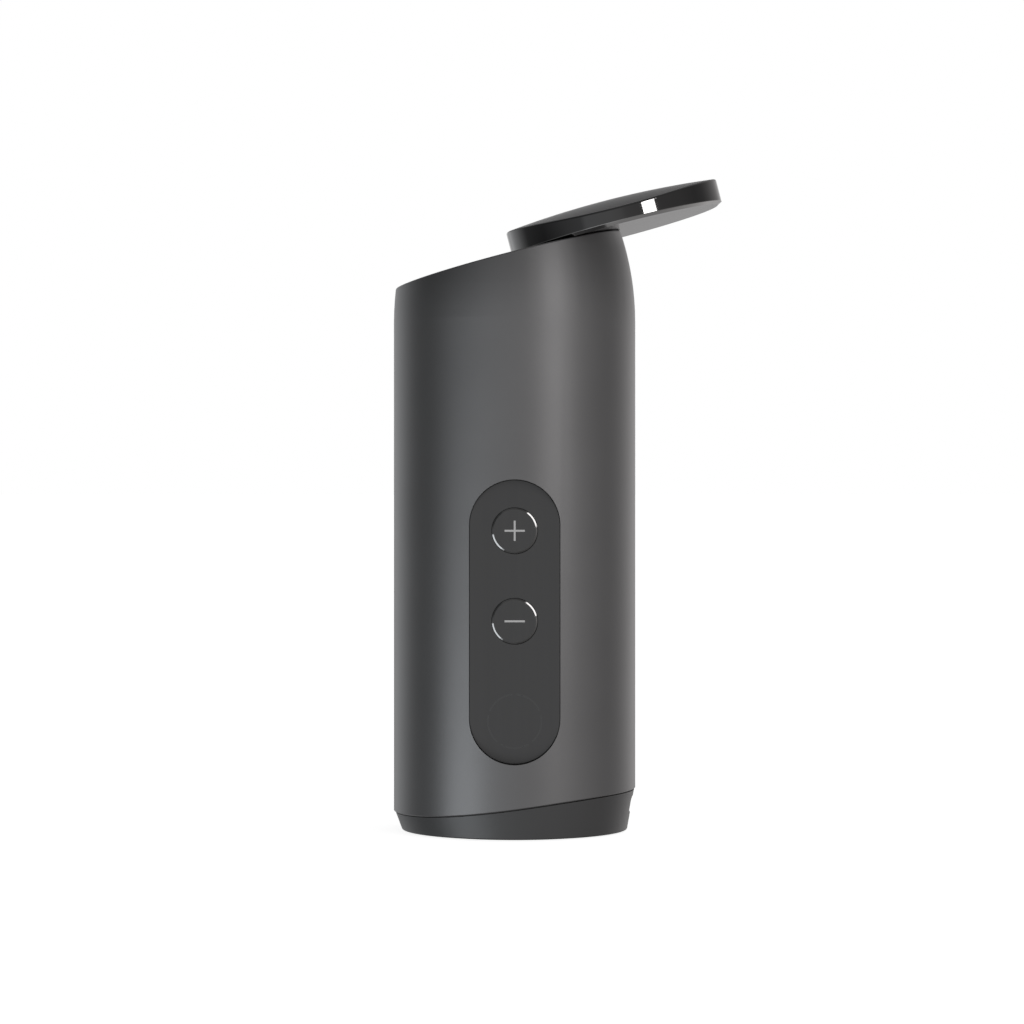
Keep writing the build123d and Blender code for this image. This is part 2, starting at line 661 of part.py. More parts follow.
with BuildPart() as key_switches:
    with BuildSketch(front_plane(BOARD_FRONT)):
        with Locations((0, PLUS_CENTRE), (0, MINUS_CENTRE)):
            RectangleRounded(SWITCH_SIZE, SWITCH_SIZE, 0.5)
    extrude(amount=SWITCH_FRONT - BOARD_FRONT)
    with BuildSketch(front_plane(SWITCH_FRONT)):
        with Locations((0, PLUS_CENTRE), (0, MINUS_CENTRE)):
            Circle(SWITCH_BUTTON[0])
    extrude(amount=SWITCH_BUTTON[1])
finish(key_switches, "key_switches")

with BuildPart() as status_leds:
    with BuildSketch(front_plane(BOARD_FRONT)):
        with Locations((0, RING_CENTRE)):
            with PolarLocations((RING_OUTER + RING_INNER) / 2, RING_PARTS, start_angle=90 + 180 / RING_PARTS):
                RectangleRounded(*LED_SIZE, 0.2)
    extrude(amount=LED_FRONT - BOARD_FRONT)
finish(status_leds, "status_leds")

with BuildPart() as touch_pad:
    with BuildSketch(front_plane(BOARD_FRONT)):
        with Locations((0, RING_CENTRE)):
            Circle(TOUCH_PAD[0])
    extrude(amount=TOUCH_PAD[1])
finish(touch_pad, "touch_pad")

with BuildPart() as board_chips:
    with BuildSketch(front_plane(BOARD_FRONT)):
        for x, z, width, height in CHIPS:
            with Locations((x, z)):
                Rectangle(width, height)
    extrude(amount=CHIP_HEIGHT)
finish(board_chips, "board_chips")

# ================================================================ motor
with BuildPart() as motor_can:
    with BuildSketch(Plane.XY.offset(MOTOR_BOTTOM)):
        Circle(MOTOR_RADIUS)
    extrude(amount=MOTOR_TOP - MOTOR_BOTTOM)
    fillet(motor_can.edges().group_by(Axis.Z)[-1], radius=1.0)
    with BuildSketch(Plane.XY.offset(MOTOR_BOTTOM)):
        Circle(MOTOR_RADIUS - MOTOR_WALL)
    extrude(amount=MOTOR_TOP - MOTOR_BOTTOM - MOTOR_WALL, mode=Mode.SUBTRACT)
    with BuildSketch(Plane.XY.offset(MOTOR_TOP - MOTOR_WALL)):
        Circle(BEARING_RADIUS)
        with PolarLocations(MOTOR_SCREW_RING, 2, start_angle=90):
            Circle(SCREW_RADIUS + 0.05)
    extrude(amount=MOTOR_WALL, mode=Mode.SUBTRACT)
finish(motor_can, "motor_can")

with BuildPart() as motor_end_cap:
    with BuildSketch(Plane.XY.offset(MOTOR_BOTTOM)):
        Circle(MOTOR_RADIUS - MOTOR_WALL)
        Circle(BEARING_RADIUS, mode=Mode.SUBTRACT)
    extrude(amount=END_CAP_THICKNESS)
    with BuildSketch(Plane.XY.offset(MOTOR_BOTTOM)):
        with PolarLocations(TERMINAL_RING, 2, start_angle=0):
            Rectangle(0.6, 2.6)
    extrude(amount=-1.2)
finish(motor_end_cap, "motor_end_cap")

with BuildPart() as motor_bearings:
    with BuildSketch(Plane.XY.offset(MOTOR_BOTTOM)):
        Circle(BEARING_RADIUS)
        Circle(BEARING_BORE, mode=Mode.SUBTRACT)
    extrude(amount=2.6)
    with BuildSketch(Plane.XY.offset(MOTOR_TOP - 1.8)):
        Circle(BEARING_RADIUS)
        Circle(BEARING_BORE, mode=Mode.SUBTRACT)
    extrude(amount=2.4)
finish(motor_bearings, "motor_bearings")

with BuildPart() as motor_magnets:
    with BuildSketch(Plane.XY.offset(MOTOR_BOTTOM + 6.0)):
        Circle(MOTOR_RADIUS - MOTOR_WALL)
        Circle(MAGNET_INNER, mode=Mode.SUBTRACT)
        Rectangle(MAGNET_GAP, 2 * MOTOR_RADIUS, mode=Mode.SUBTRACT)
    extrude(amount=MAGNET_LENGTH)
finish(motor_magnets, "motor_magnets")

with BuildPart() as motor_shaft:
    with BuildSketch(Plane.XY.offset(MOTOR_BOTTOM + 0.4)):
        Circle(SHAFT_RADIUS)
    extrude(amount=BLADE_TOP + FAN_BACKPLATE + 1.2 - MOTOR_BOTTOM - 0.4)
finish(motor_shaft, "motor_shaft")

with BuildPart() as armature:
    with BuildSketch(Plane.XY.offset(MOTOR_BOTTOM + 9.0)):
        Circle(ARMATURE_RADIUS)
        with PolarLocations(ARMATURE_RADIUS - 1.6, ARMATURE_SLOTS):
            SlotOverall(4.4, 1.4, mode=Mode.SUBTRACT)
        Circle(SHAFT_RADIUS, mode=Mode.SUBTRACT)
    extrude(amount=ARMATURE_LENGTH)
finish(armature, "armature")

with BuildPart() as commutator:
    with BuildSketch(Plane.XY.offset(MOTOR_BOTTOM + 4.0)):
        Circle(COMMUTATOR_RADIUS)
        Circle(SHAFT_RADIUS, mode=Mode.SUBTRACT)
    extrude(amount=COMMUTATOR_LENGTH)
finish(commutator, "commutator")

with BuildPart() as motor_mount:
    with BuildSketch(Plane.XY.offset(MOTOR_TOP)):
        Circle(MOTOR_RADIUS + 1.2)
        Circle(BEARING_RADIUS + 0.2, mode=Mode.SUBTRACT)
        with PolarLocations(MOTOR_SCREW_RING, 2, start_angle=90):
            Circle(SCREW_RADIUS + 0.1, mode=Mode.SUBTRACT)
    extrude(amount=MOUNT_PLATE)
    with BuildSketch(Plane.XY.offset(MOTOR_TOP)):
        Circle(MOUNT_RADIUS)
        Circle(MOUNT_RADIUS - MOUNT_RIM, mode=Mode.SUBTRACT)
        with PolarLocations((MOTOR_RADIUS + MOUNT_RADIUS) / 2 - 2, 3, start_angle=CELL_ANGLES[0]):
            Rectangle(MOUNT_RADIUS - MOTOR_RADIUS - 2, MOUNT_RIM)
    extrude(amount=MOUNT_PLATE)
    with BuildSketch(Plane.XY.offset(FRAME_TOP + FRAME_PLATE)):
        with PolarLocations(MOUNT_LEG_RING, 3, start_angle=CELL_ANGLES[0]):
            Circle(MOUNT_LEG_RADIUS)
    extrude(amount=MOTOR_TOP - FRAME_TOP - FRAME_PLATE)
finish(motor_mount, "motor_mount")

with BuildPart() as motor_screws:
    with BuildSketch(Plane.XY.offset(MOTOR_TOP + MOUNT_PLATE)):
        with PolarLocations(MOTOR_SCREW_RING, 2, start_angle=90):
            Circle(SCREW_HEAD_RADIUS)
            RegularPolygon(1.0, 6, mode=Mode.SUBTRACT)
    extrude(amount=SCREW_HEAD)
    with BuildSketch(Plane.XY.offset(MOTOR_TOP - MOTOR_WALL - 0.6)):
        with PolarLocations(MOTOR_SCREW_RING, 2, start_angle=90):
            Circle(SCREW_RADIUS)
    extrude(amount=MOUNT_PLATE + MOTOR_WALL + 0.8)
finish(motor_screws, "motor_screws")

# ================================================================ fan
with BuildPart() as fan_housing:
    with BuildSketch(Plane.XY.offset(MOTOR_TOP + MOUNT_PLATE)):
        Circle(DRUM_RADIUS)
        Circle(DRUM_RADIUS - DRUM_WALL, mode=Mode.SUBTRACT)
    extrude(amount=DRUM_TOP - MOTOR_TOP - MOUNT_PLATE)
    with BuildSketch(Plane.XY.offset(INLET_HEIGHT)):
        Circle(DRUM_RADIUS - DRUM_WALL / 2)
        Circle(EYE_RADIUS, mode=Mode.SUBTRACT)
    extrude(amount=INLET_PLATE)
    fillet(fan_housing.edges().filter_by(GeomType.CIRCLE).filter_by(lambda e: e.radius == EYE_RADIUS), 0.7)
finish(fan_housing, "fan_housing")

with BuildPart() as impeller:
    with BuildSketch(Plane.XY.offset(BLADE_TOP)):
        Circle(FAN_RADIUS)
    extrude(amount=FAN_BACKPLATE)
    with BuildSketch(Plane.XY.offset(BLADE_BOTTOM - HUB_DROP)):
        Circle(HUB_RADIUS)
    extrude(amount=BLADE_TOP - BLADE_BOTTOM + HUB_DROP)
    with BuildSketch(Plane.XY.offset(BLADE_BOTTOM)):
        for blade in range(BLADE_COUNT):
            turn = 360 * blade / BLADE_COUNT
            with BuildLine():
                ThreePointArc(
                    polar(BLADE_ROOT, turn),
                    polar(BLADE_MIDDLE[0], turn + BLADE_MIDDLE[1]),
                    polar(BLADE_TIP[0], turn + BLADE_TIP[1]),
                )
            trace(line_width=BLADE_THICKNESS)
    extrude(amount=BLADE_TOP - BLADE_BOTTOM + 0.2)
    with BuildSketch(Plane.XY.offset(BLADE_BOTTOM - 2)):
        Circle(SHAFT_RADIUS)
    extrude(amount=12.0, mode=Mode.SUBTRACT)
finish(impeller, "impeller")

with BuildPart() as impeller_nut:
    with BuildSketch(Plane.XY.offset(BLADE_TOP + FAN_BACKPLATE)):
        RegularPolygon(NUT_RADIUS, 6)
        Circle(SHAFT_RADIUS, mode=Mode.SUBTRACT)
    extrude(amount=NUT_HEIGHT)
finish(impeller_nut, "impeller_nut")

with BuildPart() as diffuser:
    with BuildSketch(Plane.XY.offset(DIFFUSER_HEIGHT)):
        Circle(DIFFUSER_RADIUS)
    extrude(amount=DIFFUSER_PLATE)
    with BuildSketch(Plane.XY.offset(DIFFUSER_HEIGHT)):
        with PolarLocations(VANE_RING, VANE_COUNT, start_angle=0):
            Rectangle(*VANE_SIZE)
    extrude(amount=VANE_HEIGHT)
    with BuildSketch(Plane.XY.offset(DIFFUSER_HEIGHT)):
        Circle(DRUM_RADIUS - DRUM_WALL - 0.1)
        Circle(DRUM_RADIUS - DRUM_WALL - 0.9, mode=Mode.SUBTRACT)
    extrude(amount=VANE_HEIGHT)
finish(diffuser, "diffuser")

with BuildPart() as plenum_seal:
    with BuildSketch(Plane.XY.offset(DRUM_TOP - 4.0)):
        Circle(BODY_RADIUS - SHELL_WALL)
        Circle(DRUM_RADIUS, mode=Mode.SUBTRACT)
    extrude(amount=PLENUM_SEAL_HEIGHT)
finish(plenum_seal, "plenum_seal")

# ================================================================ top deck and outlet
deck_screw_spots = [polar(POST_RING, angle) for angle in POST_ANGLES]


def deck_height(x):
    """The height of the deck's face above a point x to the right of the axis."""
    return RIM_HEIGHT + DECK_TOP / cos(radians(RIM_TILT)) + x * tan(radians(RIM_TILT))


with BuildPart() as rim_opening:
    add(deck_form)
    split(bisect_by=rim_plane.offset(DECK_TOP), keep=Keep.BOTTOM)
deck_outline = rim_opening.faces().filter_by(GeomType.PLANE).sort_by(rim_normal)[-1]

with BuildPart() as top_deck:
    extrude(deck_outline, amount=-DECK_THICKNESS)
    with BuildSketch(slope_plane(OUTLET_X, DECK_TOP - DECK_THICKNESS)):
        Circle(OUTLET_RADIUS + COLLAR_WALL + OUTLET_BOSS_WALL)
    extrude(amount=-OUTLET_BOSS_DROP)
    with BuildSketch(pivot_plane(DECK_TOP - DECK_THICKNESS)):
        Circle(BUSH_RADIUS + PIVOT_BOSS_WALL)
    extrude(amount=-PIVOT_BOSS_DROP)
    for x, y in deck_screw_spots:
        with BuildSketch(Plane.XY.offset(deck_height(x) - POST_DROP)):
            with Locations((x, y)):
                Circle(DECK_BOSS_RADIUS)
        extrude(amount=POST_DROP - 0.9)
    for x, y in deck_screw_spots:
        with BuildSketch(Plane.XY.offset(deck_height(x) - DECK_SCREW_SINK)):
            with Locations((x, y)):
                Circle(SCREW_HEAD_RADIUS + 0.3)
        extrude(amount=4.0, mode=Mode.SUBTRACT)
        with BuildSketch(Plane.XY.offset(deck_height(x) - POST_DROP)):
            with Locations((x, y)):
                Circle(SCREW_RADIUS + 0.1)
        extrude(amount=4.0, mode=Mode.SUBTRACT)
    with BuildSketch(slope_plane(OUTLET_X, DECK_TOP)):
        Circle(OUTLET_RADIUS + COLLAR_WALL)
    extrude(amount=-COLLAR_LENGTH, mode=Mode.SUBTRACT)
    with BuildSketch(pivot_plane(DECK_TOP)):
        Circle(BUSH_RADIUS)
    extrude(amount=-BUSH_LENGTH, mode=Mode.SUBTRACT)
finish(top_deck, "top_deck")

with BuildPart() as deck_posts:
    for x, y in deck_screw_spots:
        with BuildSketch(Plane.XY.offset(DIFFUSER_HEIGHT + DIFFUSER_PLATE)):
            with Locations((x, y)):
                RegularPolygon(POST_RADIUS, 6, major_radius=False)
        extrude(amount=deck_height(x) - POST_DROP - DIFFUSER_HEIGHT - DIFFUSER_PLATE)
    for x, y in deck_screw_spots:
        with BuildSketch(Plane.XY.offset(deck_height(x) - POST_DROP)):
            with Locations((x, y)):
                Circle(SCREW_RADIUS)
        extrude(amount=-6.0, mode=Mode.SUBTRACT)
finish(deck_posts, "deck_posts")

with BuildPart() as deck_screws:
    for x, y in deck_screw_spots:
        with BuildSketch(Plane.XY.offset(deck_height(x) - DECK_SCREW_SINK)):
            with Locations((x, y)):
                Circle(SCREW_HEAD_RADIUS)
                RegularPolygon(1.0, 6, mode=Mode.SUBTRACT)
        extrude(amount=SCREW_HEAD)
        with BuildSketch(Plane.XY.offset(deck_height(x) - 1.8)):
            with Locations((x, y)):
                Circle(SCREW_RADIUS)
        extrude(amount=-7.8)
finish(deck_screws, "deck_screws")

with BuildPart() as outlet_collar:
    with BuildSketch(slope_plane(OUTLET_X, -COLLAR_LENGTH)):
        Circle(OUTLET_RADIUS + COLLAR_WALL)
    extrude(amount=COLLAR_LENGTH)
    with BuildSketch(slope_plane(OUTLET_X, DECK_TOP)):
        Circle(COLLAR_FLANGE)
    extrude(amount=-DECK_TOP)
    fillet(outlet_collar.edges().group_by(rim_normal)[-1], radius=0.3)
    with BuildSketch(slope_plane(OUTLET_X, -COLLAR_LENGTH)):
        Circle(OUTLET_RADIUS)
    extrude(amount=COLLAR_LENGTH, mode=Mode.SUBTRACT)
    with BuildSketch(slope_plane(OUTLET_X, -SEAL_DEPTH)):
        Circle(SEAL_OUTER)
        Circle(SEAL_INNER, mode=Mode.SUBTRACT)
    extrude(amount=1.0, mode=Mode.SUBTRACT)
finish(outlet_collar, "outlet_collar")

with BuildPart() as outlet_seal:
    with BuildSketch(slope_plane(OUTLET_X, -SEAL_DEPTH)):
        Circle(SEAL_OUTER)
        Circle(SEAL_INNER, mode=Mode.SUBTRACT)
    extrude(amount=SEAL_THICKNESS)
    fillet(outlet_seal.edges().group_by(rim_normal)[-1], radius=0.2)
finish(outlet_seal, "outlet_seal")

with BuildPart() as outlet_guard:
    with BuildSketch(slope_plane(OUTLET_X, -COLLAR_LENGTH - GUARD_THICKNESS)):
        Circle(OUTLET_RADIUS + COLLAR_WALL)
        Circle(OUTLET_RADIUS - 0.4, mode=Mode.SUBTRACT)
        Circle(GUARD_RING)
        Circle(GUARD_RING - GUARD_BAR, mode=Mode.SUBTRACT)
        with PolarLocations(0, 3):
            Rectangle(2 * OUTLET_RADIUS, GUARD_BAR)
        Circle(GUARD_HUB)
    extrude(amount=GUARD_THICKNESS)
finish(outlet_guard, "outlet_guard")

# ================================================================ lid and its pivot
with BuildPart() as pivot_bush:
    with BuildSketch(pivot_plane(DECK_TOP - BUSH_LENGTH)):
        Circle(BUSH_RADIUS)
        Circle(PIN_BORE, mode=Mode.SUBTRACT)
    extrude(amount=BUSH_LENGTH)
finish(pivot_bush, "pivot_bush")

with BuildPart() as pivot_washer:
    with BuildSketch(pivot_plane(DECK_TOP)):
        Circle(WASHER_RADIUS)
        Circle(PIN_BORE, mode=Mode.SUBTRACT)
    extrude(amount=LID_GAP - WASHER_CLEARANCE - DECK_TOP)
finish(pivot_washer, "pivot_washer")

with BuildPart() as pivot_pin:
    with BuildSketch(pivot_plane(PIN_BOTTOM)):
        Circle(PIN_RADIUS)
    extrude(amount=LID_GAP + UNDERPLATE + PIN_SOCKET - PIN_BOTTOM)
    with BuildSketch(pivot_plane(LID_GAP + UNDERPLATE + PIN_SOCKET)):
        Circle(PIN_RADIUS + 1.4)
    extrude(amount=PIN_HEAD)
    with BuildSketch(pivot_plane(PIN_BOTTOM + CLIP_GROOVE)):
        Circle(PIN_RADIUS)
        Circle(PIN_RADIUS - 0.5, mode=Mode.SUBTRACT)
    extrude(amount=CLIP_THICKNESS + 0.1, mode=Mode.SUBTRACT)
finish(pivot_pin, "pivot_pin")

with BuildPart() as pivot_clip:
    with BuildSketch(pivot_plane(PIN_BOTTOM + CLIP_GROOVE + 0.05)):
        Circle(PIN_RADIUS + 1.5)
        Circle(PIN_RADIUS - 0.5, mode=Mode.SUBTRACT)
        with Locations((PIN_RADIUS, 0)):
            Rectangle(2 * PIN_RADIUS, 2.6, mode=Mode.SUBTRACT)
    extrude(amount=CLIP_THICKNESS)
finish(pivot_clip, "pivot_clip")

with BuildPart() as pivot_spring:
    with BuildSketch(pivot_plane(PIN_BOTTOM + 1.5)):
        Circle(PIN_RADIUS + 1.1)
        Circle(PIN_RADIUS, mode=Mode.SUBTRACT)
    extrude(amount=0.4)
finish(pivot_spring, "pivot_spring")

with BuildPart() as lid_underplate:
    with BuildSketch(lid_plane(0)):
        Circle(LID_RADIUS)
    extrude(amount=UNDERPLATE)
    flat = lid_underplate.faces().sort_by(rim_normal)[0]
    chamfer(flat.edges(), length=UNDERPLATE_BEVEL, length2=UNDERPLATE_BEVEL_RISE, reference=flat)
    with BuildSketch(pivot_plane(LID_GAP + UNDERPLATE)):
        Circle(PIN_RADIUS + 2.2)
    extrude(amount=PIN_SOCKET)
    with BuildSketch(pivot_plane(LID_GAP)):
        Circle(PIN_RADIUS)
    extrude(amount=UNDERPLATE + PIN_SOCKET, mode=Mode.SUBTRACT)
finish(lid_underplate, "lid_underplate")

# Space under the band's edge that the dome is pressed into.
with BuildPart() as dome_pocket:
    with BuildSketch(lid_plane(0)):
        Circle(DOME_RADIUS + DOME_GAP)
    extrude(amount=LID_PEAK + 1)
    add(lid_seat_form, mode=Mode.SUBTRACT)

with BuildPart() as lid_band:
    with BuildSketch(lid_plane(UNDERPLATE)):
        Circle(LID_RADIUS)
        Circle(LID_RADIUS - BAND_WALL, mode=Mode.SUBTRACT)
    extrude(amount=LID_PEAK)
    add(lid_dome_form, mode=Mode.INTERSECT)
    fillet(lid_band.edges().sort_by(Edge.length)[-1], radius=BAND_ROUND)
    add(dome_pocket.part, mode=Mode.SUBTRACT)
finish(lid_band, "lid_band")

with BuildPart() as lid_dome:
    with BuildSketch(lid_plane(0)):
        Circle(DOME_RADIUS)
    extrude(amount=LID_PEAK + 1)
    add(lid_dome_form, mode=Mode.INTERSECT)
    add(lid_seat_form, mode=Mode.SUBTRACT)
finish(lid_dome, "lid_dome")
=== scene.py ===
"""Handheld electric air pump: camera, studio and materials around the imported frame."""

import math

import bpy
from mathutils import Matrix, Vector

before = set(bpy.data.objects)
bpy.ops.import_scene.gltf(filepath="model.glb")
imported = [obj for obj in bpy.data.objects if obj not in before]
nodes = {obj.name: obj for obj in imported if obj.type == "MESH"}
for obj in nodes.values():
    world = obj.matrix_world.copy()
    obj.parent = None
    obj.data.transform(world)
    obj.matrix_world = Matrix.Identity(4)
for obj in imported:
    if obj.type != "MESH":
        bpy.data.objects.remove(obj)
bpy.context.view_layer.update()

MM = 0.001
BLACK = (0.0, 0.0, 0.0)
WHITE = (1.0, 1.0, 1.0)
OPAQUE = 1.0


# --- node trees -----------------------------------------------------------------------------------------------

# The Mix node has one set of sockets for each kind of value; these are the factor's and the colours'.
MIX_FACTOR, MIX_FIRST, MIX_SECOND, MIX_RESULT = 0, 6, 7, 2


class Tree:
    """A node tree with short ways to add and join nodes."""

    def __init__(self, tree):
        self.tree = tree
        tree.nodes.clear()

    def feed(self, node, name, value):
        """Put a value or an output socket on a node's input."""
        if isinstance(value, bpy.types.NodeSocket):
            self.tree.links.new(value, node.inputs[name])
        else:
            node.inputs[name].default_value = value

    def add(self, kind, inputs=None, **settings):
        """A new node; inputs are values or output sockets by socket name or number."""
        node = self.tree.nodes.new("ShaderNode" + kind)
        for name, value in settings.items():
            setattr(node, name, value)
        for name, value in (inputs or {}).items():
            self.feed(node, name, value)
        return node

    def math(self, operation, a, b=0.0):
        return self.add("Math", {0: a, 1: b}, operation=operation).outputs[0]

    def remap(self, value, from_low, from_high, to_low, to_high):
        """The value carried from one range to another, held at its ends."""
        inputs = {"Value": value, "From Min": from_low, "From Max": from_high,
                  "To Min": to_low, "To Max": to_high}
        return self.add("MapRange", inputs).outputs["Result"]

    def ramp(self, angle, low, high, stops):
        """A grey that runs through (degrees, brightness) stops; the angle goes from low to high, in radians."""
        node = self.add("ValToRGB", {"Fac": self.remap(angle, low, high, 0.0, 1.0)})
        elements = node.color_ramp.elements
        while len(elements) < len(stops):
            elements.new(0.5)
        first, last = math.degrees(low), math.degrees(high)
        for element, (degrees, grey) in zip(elements, stops):
            element.position = (degrees - first) / (last - first)
            element.color = (grey, grey, grey, OPAQUE)
        return node.outputs["Color"]

    def mix(self, factor, first, second, blend="MIX"):
        """A mix of two colours."""
        node = self.add("Mix", data_type="RGBA", blend_type=blend)
        self.feed(node, MIX_FACTOR, factor)
        for index, value in ((MIX_FIRST, first), (MIX_SECOND, second)):
            self.feed(node, index, (*value, OPAQUE) if isinstance(value, tuple) else value)
        return node.outputs[MIX_RESULT]


# --- camera ---------------------------------------------------------------------------------------------------

CAMERA_PLACE = Vector((-0.69, -880.0, 90.0)) * MM
CAMERA_LENS = 116.6
CAMERA_SHIFT_UP = -0.0213
CAMERA_NEAR = 0.01
CAMERA_FAR = 200.0


def add_camera():
    """A level camera in front of the object, a little above its middle."""
    camera = bpy.data.objects.new("camera", bpy.data.cameras.new("camera"))
    camera.data.lens = CAMERA_LENS
    camera.data.shift_y = CAMERA_SHIFT_UP
    camera.data.clip_start = CAMERA_NEAR
    camera.data.clip_end = CAMERA_FAR
    camera.location = CAMERA_PLACE
    camera.rotation_euler = (math.radians(90), 0, 0)
    bpy.context.scene.collection.objects.link(camera)
    bpy.context.scene.camera = camera


# --- studio walls and floor -----------------------------------------------------------------------------------

# Azimuth in degrees, 0 in front and positive to the right, and the brightness of the studio walls there.
WALLS = (
    (-180, 0.29), (-168, 0.42), (-152, 0.90), (-130, 0.68), (-112, 0.20), (-85, 0.13), (-56, 0.30),
    (-38, 0.38), (-33, 0.67), (4, 0.66), (10, 0.54), (40, 0.60), (75, 0.50), (98, 0.31), (112, 0.36),
    (132, 0.74), (155, 1.05), (168, 0.44), (180, 0.29),
)
# Elevation in degrees and how much of that brightness is left.
WALL_FADE = ((-90, 0.4), (-45, 0.45), (-14, 0.7), (-3, 1.0), (3, 1.0), (12, 0.5), (27, 0.45), (60, 0.4))
# Elevation in degrees and the strength of a low glow on the wall behind the object.
BACK_GLOW = ((-2, 0.0), (3, 0.6), (9, 0.6), (18, 0.0))
# The glow grows from nothing to full between these parts of the way to straight behind.
BACK_EDGE = (0.92, 0.98)
# The walls' tint on the left and on the right, and how far to each side it is all one or the other.
WALL_COOL = (0.99, 1.0, 1.012)
WALL_WARM = (1.025, 0.995, 0.985)
TINT_REACH = 0.5

FLOOR_HALF_SIZE = 60.0
FLOOR_GLOW = 0.86
FLOOR_GREY = 0.8


def add_world():
    """Studio walls round the object, seen as plain white by the camera."""
    world = bpy.data.worlds.new("studio")
    bpy.context.scene.world = world
    world.use_nodes = True
    tree = Tree(world.node_tree)
    way = tree.add("SeparateXYZ", {0: tree.add("TexCoord").outputs["Generated"]})
    right, back, up = (way.outputs[axis] for axis in "XYZ")
    azimuth = tree.math("ARCTAN2", right, tree.math("MULTIPLY", back, -1.0))
    elevation = tree.math("ARCSINE", up)

    walls = tree.ramp(azimuth, -math.pi, math.pi, WALLS)
    fade = tree.ramp(elevation, -math.pi / 2, math.pi / 2, WALL_FADE)
    glow = tree.ramp(elevation, -math.pi / 2, math.pi / 2, BACK_GLOW)
    tint = tree.mix(tree.remap(right, -TINT_REACH, TINT_REACH, 0.0, 1.0), WALL_COOL, WALL_WARM)
    lit_walls = tree.mix(1.0, tree.mix(1.0, walls, fade, "MULTIPLY"), tint, "MULTIPLY")
    lit_walls = tree.mix(tree.remap(back, *BACK_EDGE, 0.0, 1.0), lit_walls, glow, "ADD")

    lit = tree.add("Background", {"Color": lit_walls, "Strength": 1.0})
    plain_white = tree.add("Background", {"Color": (*WHITE, OPAQUE), "Strength": 1.0})
    seen = tree.add("LightPath").outputs["Is Camera Ray"]
    both = tree.add("MixShader", {0: seen, 1: lit.outputs[0], 2: plain_white.outputs[0]})
    tree.add("OutputWorld", {"Surface": both.outputs[0]})


def add_floor():
    """A plain pale floor that carries only a faint shadow and throws no light back."""
    mesh = bpy.data.meshes.new("floor")
    s = FLOOR_HALF_SIZE
    mesh.from_pydata([(-s, -s, 0), (s, -s, 0), (s, s, 0), (-s, s, 0)], [], [(0, 1, 2, 3)])
    floor = bpy.data.objects.new("floor", mesh)
    bpy.context.scene.collection.objects.link(floor)
    material = bpy.data.materials.new("floor")
    material.use_nodes = True
    tree = Tree(material.node_tree)
    glow = tree.add("Emission", {"Color": (*WHITE, OPAQUE), "Strength": FLOOR_GLOW})
    matt = tree.add("BsdfDiffuse", {"Color": (FLOOR_GREY, FLOOR_GREY, FLOOR_GREY, OPAQUE)})
    both = tree.add("AddShader", {0: glow.outputs[0], 1: matt.outputs[0]})
    tree.add("OutputMaterial", {"Surface": both.outputs[0]})
    material.cycles.emission_sampling = "NONE"
    mesh.materials.append(material)
    floor.visible_glossy = False
    floor.visible_diffuse = False
    floor.visible_shadow = False


# --- lights ---------------------------------------------------------------------------------------------------

# Lights face this place, and their azimuth and elevation are taken from it.
STUDIO_CENTRE = Vector((0, 0, 80)) * MM
WARM = (1.0, 0.975, 0.965)
COOL = (0.93, 0.97, 1.0)
# Softboxes: name, azimuth and elevation, width and height, radiance, colour, and the nodes that they don't reach.
SOFTBOX_DISTANCE = 0.70
SOFTBOXES = (
    ("key_light", (38, 18), (0.26, 0.52), 1.15, WARM, ("lid_underplate", "lid_band")),
    ("cool_light", (-50, -26), (0.42, 0.46), 1.55, COOL, ("lid_underplate",)),
)
# Glints reach only the nodes named: name, azimuth and elevation, width and height, radiance, colour and nodes.
# They stand nearer than the softboxes, so that these don't block them.
GLINT_DISTANCE = 0.66
COOL_GLINT_PLACE = (-42, -24)
COOL_GLINT_SIZE = (0.19, 0.36)
KEYS = ("plus_key", "minus_key")
GLINTS = (
    ("band_warm_glint", (35.8, 22), (0.15, 0.32), 27.0, WARM, ("lid_band",)),
    ("band_cool_glint", COOL_GLINT_PLACE, COOL_GLINT_SIZE, 11.0, COOL, ("lid_band",)),
    ("key_warm_glint", (41, 22), (0.19, 0.36), 5.4, WARM, KEYS),
    ("key_cool_glint", COOL_GLINT_PLACE, COOL_GLINT_SIZE, 2.3, COOL, KEYS),
)


def direction(azimuth, elevation):
    """Unit vector; azimuth 0 is the front, positive to the right, and elevation is upward, in degrees."""
    a = math.radians(azimuth)
    e = math.radians(elevation)
    return Vector((math.sin(a) * math.cos(e), -math.cos(a) * math.cos(e), math.sin(e)))


def add_lamp(name, place, size, radiance, colour, distance):
    """A rectangular light facing the studio's centre, unseen by the camera; size and distance are in metres."""
    light = bpy.data.lights.new(name, "AREA")
    light.shape = "RECTANGLE"
    light.size, light.size_y = size
    light.energy = radiance * math.pi * size[0] * size[1]
    light.color = colour
    lamp = bpy.data.objects.new(name, light)
    bpy.context.scene.collection.objects.link(lamp)
    outward = direction(*place)
    lamp.location = STUDIO_CENTRE + outward * distance
    lamp.rotation_euler = outward.to_track_quat("Z", "Y").to_euler()
    lamp.visible_camera = False
    return lamp


def link_light(lamp, names, state):
    """INCLUDE lets a light reach only the named nodes, EXCLUDE all but them."""
    reach = bpy.data.collections.new(lamp.name + "_reach")
    for name in names:
        reach.objects.link(nodes[name])
    lamp.light_linking.receiver_collection = reach
    for member in reach.collection_objects:
        member.light_linking.link_state = state


def add_lights():
    """A warm key light high on the right, a cool one low on the left, and the glints on the gloss parts."""
    for lamps, distance, state in (
        (SOFTBOXES, SOFTBOX_DISTANCE, "EXCLUDE"),
        (GLINTS, GLINT_DISTANCE, "INCLUDE"),
    ):
        for name, place, size, radiance, colour, names in lamps:
            link_light(add_lamp(name, place, size, radiance, colour, distance), names, state)


# --- materials ------------------------------------------------------------------------------------------------

